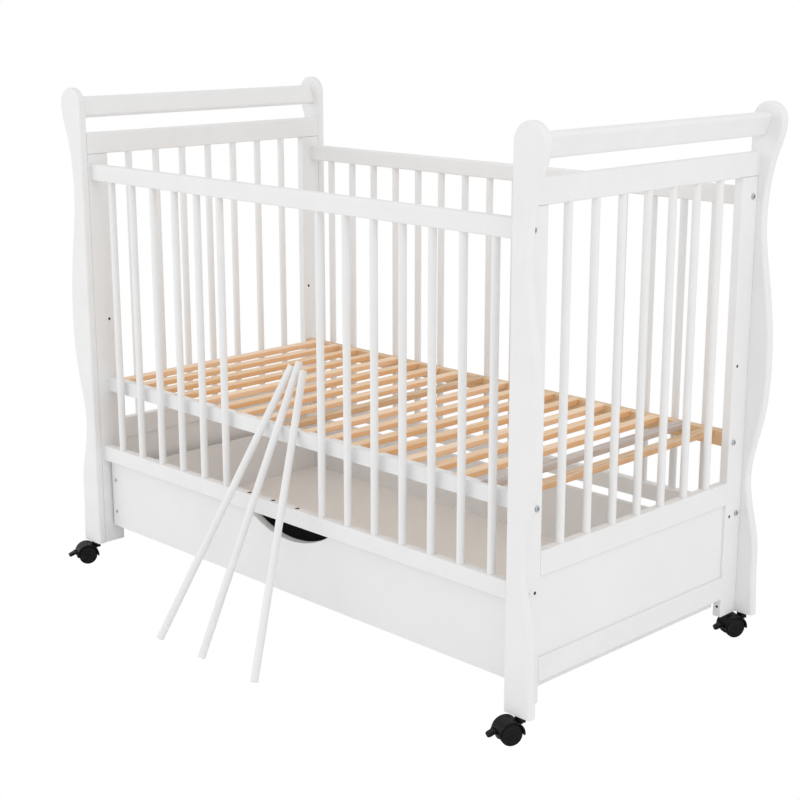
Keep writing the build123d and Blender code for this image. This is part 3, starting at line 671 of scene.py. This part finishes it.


# The sleeve carries the hole's painted shade over its bare wood.
def lining(name, bore, depth, blind):
    """Thin sleeve inside a drilled hole that runs back along X from its mouth, closed if blind."""
    outer = bore - LINING_FIT
    inner = outer - LINING_WALL
    far = -depth + LINING_FIT
    body = bmesh.new()
    if blind:
        section = [(far, 0.0), (far, outer), (-RIM_SETBACK, outer), (-RIM_SETBACK, inner),
                   (far + LINING_WALL, inner), (far + LINING_WALL, 0.0)]
    else:
        section = [(far, inner), (far, outer), (-RIM_SETBACK, outer), (-RIM_SETBACK, inner)]
    loops = []
    for step in range(RING):
        angle = math.tau * step / RING
        loops.append([body.verts.new((x, r * math.cos(angle), r * math.sin(angle))) for x, r in section])
    for step in range(RING):
        near, beyond = loops[step], loops[(step + 1) % RING]
        for place in range(len(section) - 1 if blind else len(section)):
            after = (place + 1) % len(section)
            body.faces.new((near[place], near[after], beyond[after], beyond[place]))
    bmesh.ops.remove_doubles(body, verts=body.verts, dist=LINING_FIT / 10)
    bmesh.ops.recalc_face_normals(body, faces=body.faces)
    mesh = bpy.data.meshes.new(name)
    body.to_mesh(mesh)
    body.free()
    return bpy.data.objects.new(name, mesh)


TENON_BORE = 5 * MM
TENON_DEPTH = 12 * MM
BOLT_BORE = 3.2 * MM
FOOT_BORE = 3 * MM
FOOT_DEPTH = 12 * MM
FOOT_RISE = 20 * MM
BASE_STEP = 150 * MM
post_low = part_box("post_right_front")[0]
post_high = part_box("post_right_front")[1]
post_thickness = post_high.x - post_low.x
post_centre = (post_low.x + post_high.x) / 2
MISSING_COUNT = MISSING[1] - MISSING[0] + 1
missing_x = (MISSING[0] - (SIDE_COUNT - 1) / 2) * SPINDLE_PITCH
rail_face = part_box("front_bottom_rail")[1].z
rail_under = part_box("front_top_rail")[0].z
quarter = math.pi / 2
still = (0.0, 0.0, 0.0)


def sleeves(name, sleeve, facing, first, rise, count, across):
    """Linings on a grid of holes, all facing one way."""
    hardware(name, "frame", sleeve, facing, 0, first, rise, count, across, [],
             material=drilled, spin=0.0)


along_rail = (SPINDLE_PITCH, 0.0, 0.0)
sleeves("open_spindle_sockets", lining("socket_sleeve", TENON_BORE, TENON_DEPTH, True),
        (0.0, -quarter, 0.0), (missing_x, -rail_y, rail_face), along_rail, MISSING_COUNT, still)
sleeves("open_upper_sockets", lining("upper_sleeve", TENON_BORE, TENON_DEPTH, True),
        (0.0, quarter, 0.0), (missing_x, -rail_y, rail_under), along_rail, MISSING_COUNT, still)
for end in ENDS:
    face_x = end_face if end == "right" else -end_face
    sleeves(f"{end}_spare_base_holes",
            lining(f"{end}_bolt_sleeve", BOLT_BORE, post_thickness - RIM_SETBACK, False),
            facing_out[end], (face_x, -base_y, base_z - BASE_STEP), (0.0, 0.0, 2 * BASE_STEP), 2,
            (0.0, 2 * base_y, 0.0))
for side, turn, edge_y in (("front", quarter, post_high.y), ("back", -quarter, -post_high.y)):
    sleeves(f"{side}_foot_holes", lining(f"{side}_foot_sleeve", FOOT_BORE, FOOT_DEPTH, True),
            (0.0, 0.0, turn), (-post_centre, edge_y, post_low.z + FOOT_RISE),
            (2 * post_centre, 0.0, 0.0), 2, still)

# ---------------------------------------------------------------------------
# Dowels: fluted beech pegs glued in the joints. They are hidden, except as
# pale round ends if a joint is opened, and are left as plain sanded beech.
# ---------------------------------------------------------------------------
beech, tree = new_material("sanded_beech")
fibres = stretched(tree, "Y", 0.9 * MM, 12 * MM)
grain = add(tree, "ShaderNodeTexNoise", inputs={"Vector": fibres, "Scale": 1.0, "Detail": 3.0})
finish_material(tree, {
    "Base Color": blend_colours(tree, grain.outputs["Fac"], colour("#DDB58C"), colour("#B98555")),
    "Roughness": 0.65,
}, grain.outputs["Fac"], 0.08 * MM)
dress(beech, "dowels")

# ---------------------------------------------------------------------------
# Casters: twin wheels under a moulded hood, with a brake lever. All are black
# moulded nylon, satin with a very fine spark-eroded grain.
# ---------------------------------------------------------------------------
nylon, tree = new_material("moulded_black_nylon")
place = add(tree, "ShaderNodeTexCoord").outputs["Object"]
grain = add(tree, "ShaderNodeTexNoise", inputs={"Vector": place, "Scale": 1 / (0.7 * MM), "Detail": 2.0})
cloud = add(tree, "ShaderNodeTexNoise", inputs={"Vector": place, "Scale": 1 / (14 * MM), "Detail": 3.0})
finish_material(tree, {
    "Base Color": blend_colours(tree, cloud.outputs["Fac"], colour("#0C0C0D"), colour("#131314")),
    "Roughness": spread(tree, cloud.outputs["Fac"], 0.38, 0.52),
    "IOR": 1.53,
    "Specular IOR Level": 0.14,
}, grain.outputs["Fac"], 0.03 * MM)
for end in ENDS:
    for side in SIDES:
        dress(nylon, f"caster_housing_{end}_{side}", f"caster_brake_{end}_{side}")

WHEEL_RADIUS = 20 * MM
WHEEL_INNER = 5.6 * MM
WHEEL_OUTER = 17.1 * MM
AXLE_RADIUS = 2.5 * MM
AXLE_REACH = WHEEL_OUTER - 0.7 * MM
TREAD_ROUND = 2.2 * MM
LATHE_STEPS = 64


def arc(middle, radius, start, end, steps):
    """Points of an arc in a lathe profile, angles in degrees."""
    made = []
    for step in range(steps + 1):
        angle = math.radians(start + (end - start) * step / steps)
        made.append((middle[0] + radius * math.cos(angle), middle[1] + radius * math.sin(angle)))
    return made


def wheel_profile():
    """Half section of one wheel, as (distance along the axle, radius), from the hub out and back."""
    rim = 17.6 * MM
    dish = 0.5 * MM
    tread = WHEEL_RADIUS - TREAD_ROUND
    section = [(WHEEL_INNER, AXLE_RADIUS), (WHEEL_INNER, tread)]
    section += arc((WHEEL_INNER + TREAD_ROUND, tread), TREAD_ROUND, 180, 90, 4)[1:]
    section += arc((WHEEL_OUTER - TREAD_ROUND, tread), TREAD_ROUND, 90, 0, 5)
    section += [(WHEEL_OUTER - 0.1 * MM, rim), (WHEEL_OUTER - dish, rim - 1.2 * MM)]
    section += [(WHEEL_OUTER - 1.3 * dish, rim / 2), (WHEEL_OUTER - 1.4 * dish, AXLE_RADIUS)]
    return section


def lathe(body, section, closed):
    """Adds the section turned round the axle (X) to a mesh."""
    count = len(section)
    loops = []
    for step in range(LATHE_STEPS):
        angle = math.tau * step / LATHE_STEPS
        loops.append([body.verts.new((x, r * math.cos(angle), r * math.sin(angle))) for x, r in section])
    for step in range(LATHE_STEPS):
        near, far = loops[step], loops[(step + 1) % LATHE_STEPS]
        for place in range(count if closed else count - 1):
            after = (place + 1) % count
            body.faces.new((near[place], near[after], far[after], far[place]))
    if not closed:
        body.faces.new([loop[0] for loop in loops])
        body.faces.new([loop[-1] for loop in reversed(loops)])


def caster_wheels(name, body_name, node, heading):
    """Both wheels of one caster with their axle, on its CAD wheels' place."""
    body = bmesh.new()
    right = wheel_profile()
    lathe(body, right, True)
    lathe(body, [(-x, r) for x, r in right], True)
    pin = AXLE_RADIUS - 0.05 * MM
    tip = 0.6 * MM
    lathe(body, [(-AXLE_REACH, pin - tip), (-AXLE_REACH + tip, pin), (AXLE_REACH - tip, pin),
                 (AXLE_REACH, pin - tip)], False)
    bmesh.ops.recalc_face_normals(body, faces=body.faces)
    mesh = bpy.data.meshes.new(name)
    body.to_mesh(mesh)
    body.free()
    lowest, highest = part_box(node)
    middle = (lowest + highest) / 2
    mesh.transform(Matrix.Translation(middle) @ Matrix.Rotation(heading, 4, "Z"))
    piece = bpy.data.objects.new(name, mesh)
    bpy.context.scene.collection.objects.link(piece)
    mesh.materials.append(nylon)
    smooth_below(piece, 35)
    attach(piece, body_name)
    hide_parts(node)
    return piece


AXLE_HEADING = math.radians(-25)
for end in ENDS:
    for side in SIDES:
        caster_wheels(f"{end}_{side}_twin_wheels", f"wheels_{end}_{side}",
                      f"caster_wheels_{end}_{side}", AXLE_HEADING)

# ---------------------------------------------------------------------------
# Studio: a seamless white floor that the camera sees as plain white, and soft
# light with hardly a shadow from large panels above and in front.
# ---------------------------------------------------------------------------
FLOOR_SIZE = 60.0
floor_mesh = bpy.data.meshes.new("studio_floor")
half = FLOOR_SIZE / 2
corners = [(-half, -half, 0), (half, -half, 0), (half, half, 0), (-half, half, 0)]
floor_mesh.from_pydata(corners, [], [(0, 1, 2, 3)])
floor = bpy.data.objects.new("studio_floor", floor_mesh)
bpy.context.scene.collection.objects.link(floor)
paper, tree = new_material("studio_paper")
place = add(tree, "ShaderNodeTexCoord").outputs["Object"]
fibre = add(tree, "ShaderNodeTexNoise", inputs={"Vector": place, "Scale": 400.0})
finish_material(tree, {"Base Color": colour("#FFFFFF"), "Roughness": 0.9}, fibre.outputs["Fac"], 0.01 * MM)
lit_paper = tree.nodes["Principled BSDF"]
glow = add(tree, "ShaderNodeEmission", inputs={"Color": colour("#FFFFFF"), "Strength": 1.0})
seen = add(tree, "ShaderNodeLightPath").outputs["Is Camera Ray"]
swap = add(tree, "ShaderNodeMixShader", inputs={0: seen, 1: lit_paper.outputs[0], 2: glow.outputs[0]})
tree.links.new(swap.outputs[0], tree.nodes["Material Output"].inputs["Surface"])
floor_mesh.materials.append(paper)

SURROUND = 0.80
world = bpy.data.worlds.new("studio")
world.use_nodes = True
world.node_tree.nodes.clear()
tree = world.node_tree
around = add(tree, "ShaderNodeBackground", inputs={"Color": colour("#FFFFFF"), "Strength": SURROUND})
backdrop = add(tree, "ShaderNodeBackground", inputs={"Color": colour("#FFFFFF"), "Strength": 1.0})
seen = add(tree, "ShaderNodeLightPath").outputs["Is Camera Ray"]
swap = add(tree, "ShaderNodeMixShader", inputs={0: seen, 1: around.outputs[0], 2: backdrop.outputs[0]})
add(tree, "ShaderNodeOutputWorld", inputs={"Surface": swap.outputs[0]})
bpy.context.scene.world = world
bpy.context.scene.view_settings.view_transform = "Standard"


def panel_light(name, place, target, size, power):
    """Large soft light panel, aimed at a point."""
    lamp = bpy.data.lights.new(name, "AREA")
    lamp.shape = "SQUARE"
    lamp.size = size
    lamp.energy = power
    holder = bpy.data.objects.new(name, lamp)
    aim = Vector(target) - Vector(place)
    holder.matrix_world = Matrix.Translation(place) @ aim.to_track_quat("-Z", "Y").to_matrix().to_4x4()
    bpy.context.scene.collection.objects.link(holder)


CRIB_MIDDLE = (0.0, 0.0, 0.5)
KEY_PLACE = (3.2, -0.8, 3.2)
KEY_SIZE = 2.5
KEY_POWER = 27
FILL_PLACE = (-2.5, -3.5, 2.2)
FILL_SIZE = 3.0
FILL_POWER = 28
panel_light("key_panel", KEY_PLACE, CRIB_MIDDLE, KEY_SIZE, KEY_POWER)
panel_light("fill_panel", FILL_PLACE, CRIB_MIDDLE, FILL_SIZE, FILL_POWER)

# ---------------------------------------------------------------------------
# Camera: at standing height off the front right corner.
# ---------------------------------------------------------------------------
CAMERA_PLACE = (2.25323, -2.23159, 1.23283)
CAMERA_TURN = math.radians(45.2266)
CAMERA_DIP = math.radians(14.2551)
CAMERA_LENS = 71.4527
CAMERA_SENSOR = 36
camera_data = bpy.data.cameras.new("camera")
camera_data.lens = CAMERA_LENS
camera_data.sensor_width = CAMERA_SENSOR
camera = bpy.data.objects.new("camera", camera_data)
camera.location = CAMERA_PLACE
camera.rotation_euler = (math.pi / 2 - CAMERA_DIP, 0.0, CAMERA_TURN)
bpy.context.scene.collection.objects.link(camera)
bpy.context.scene.camera = camera
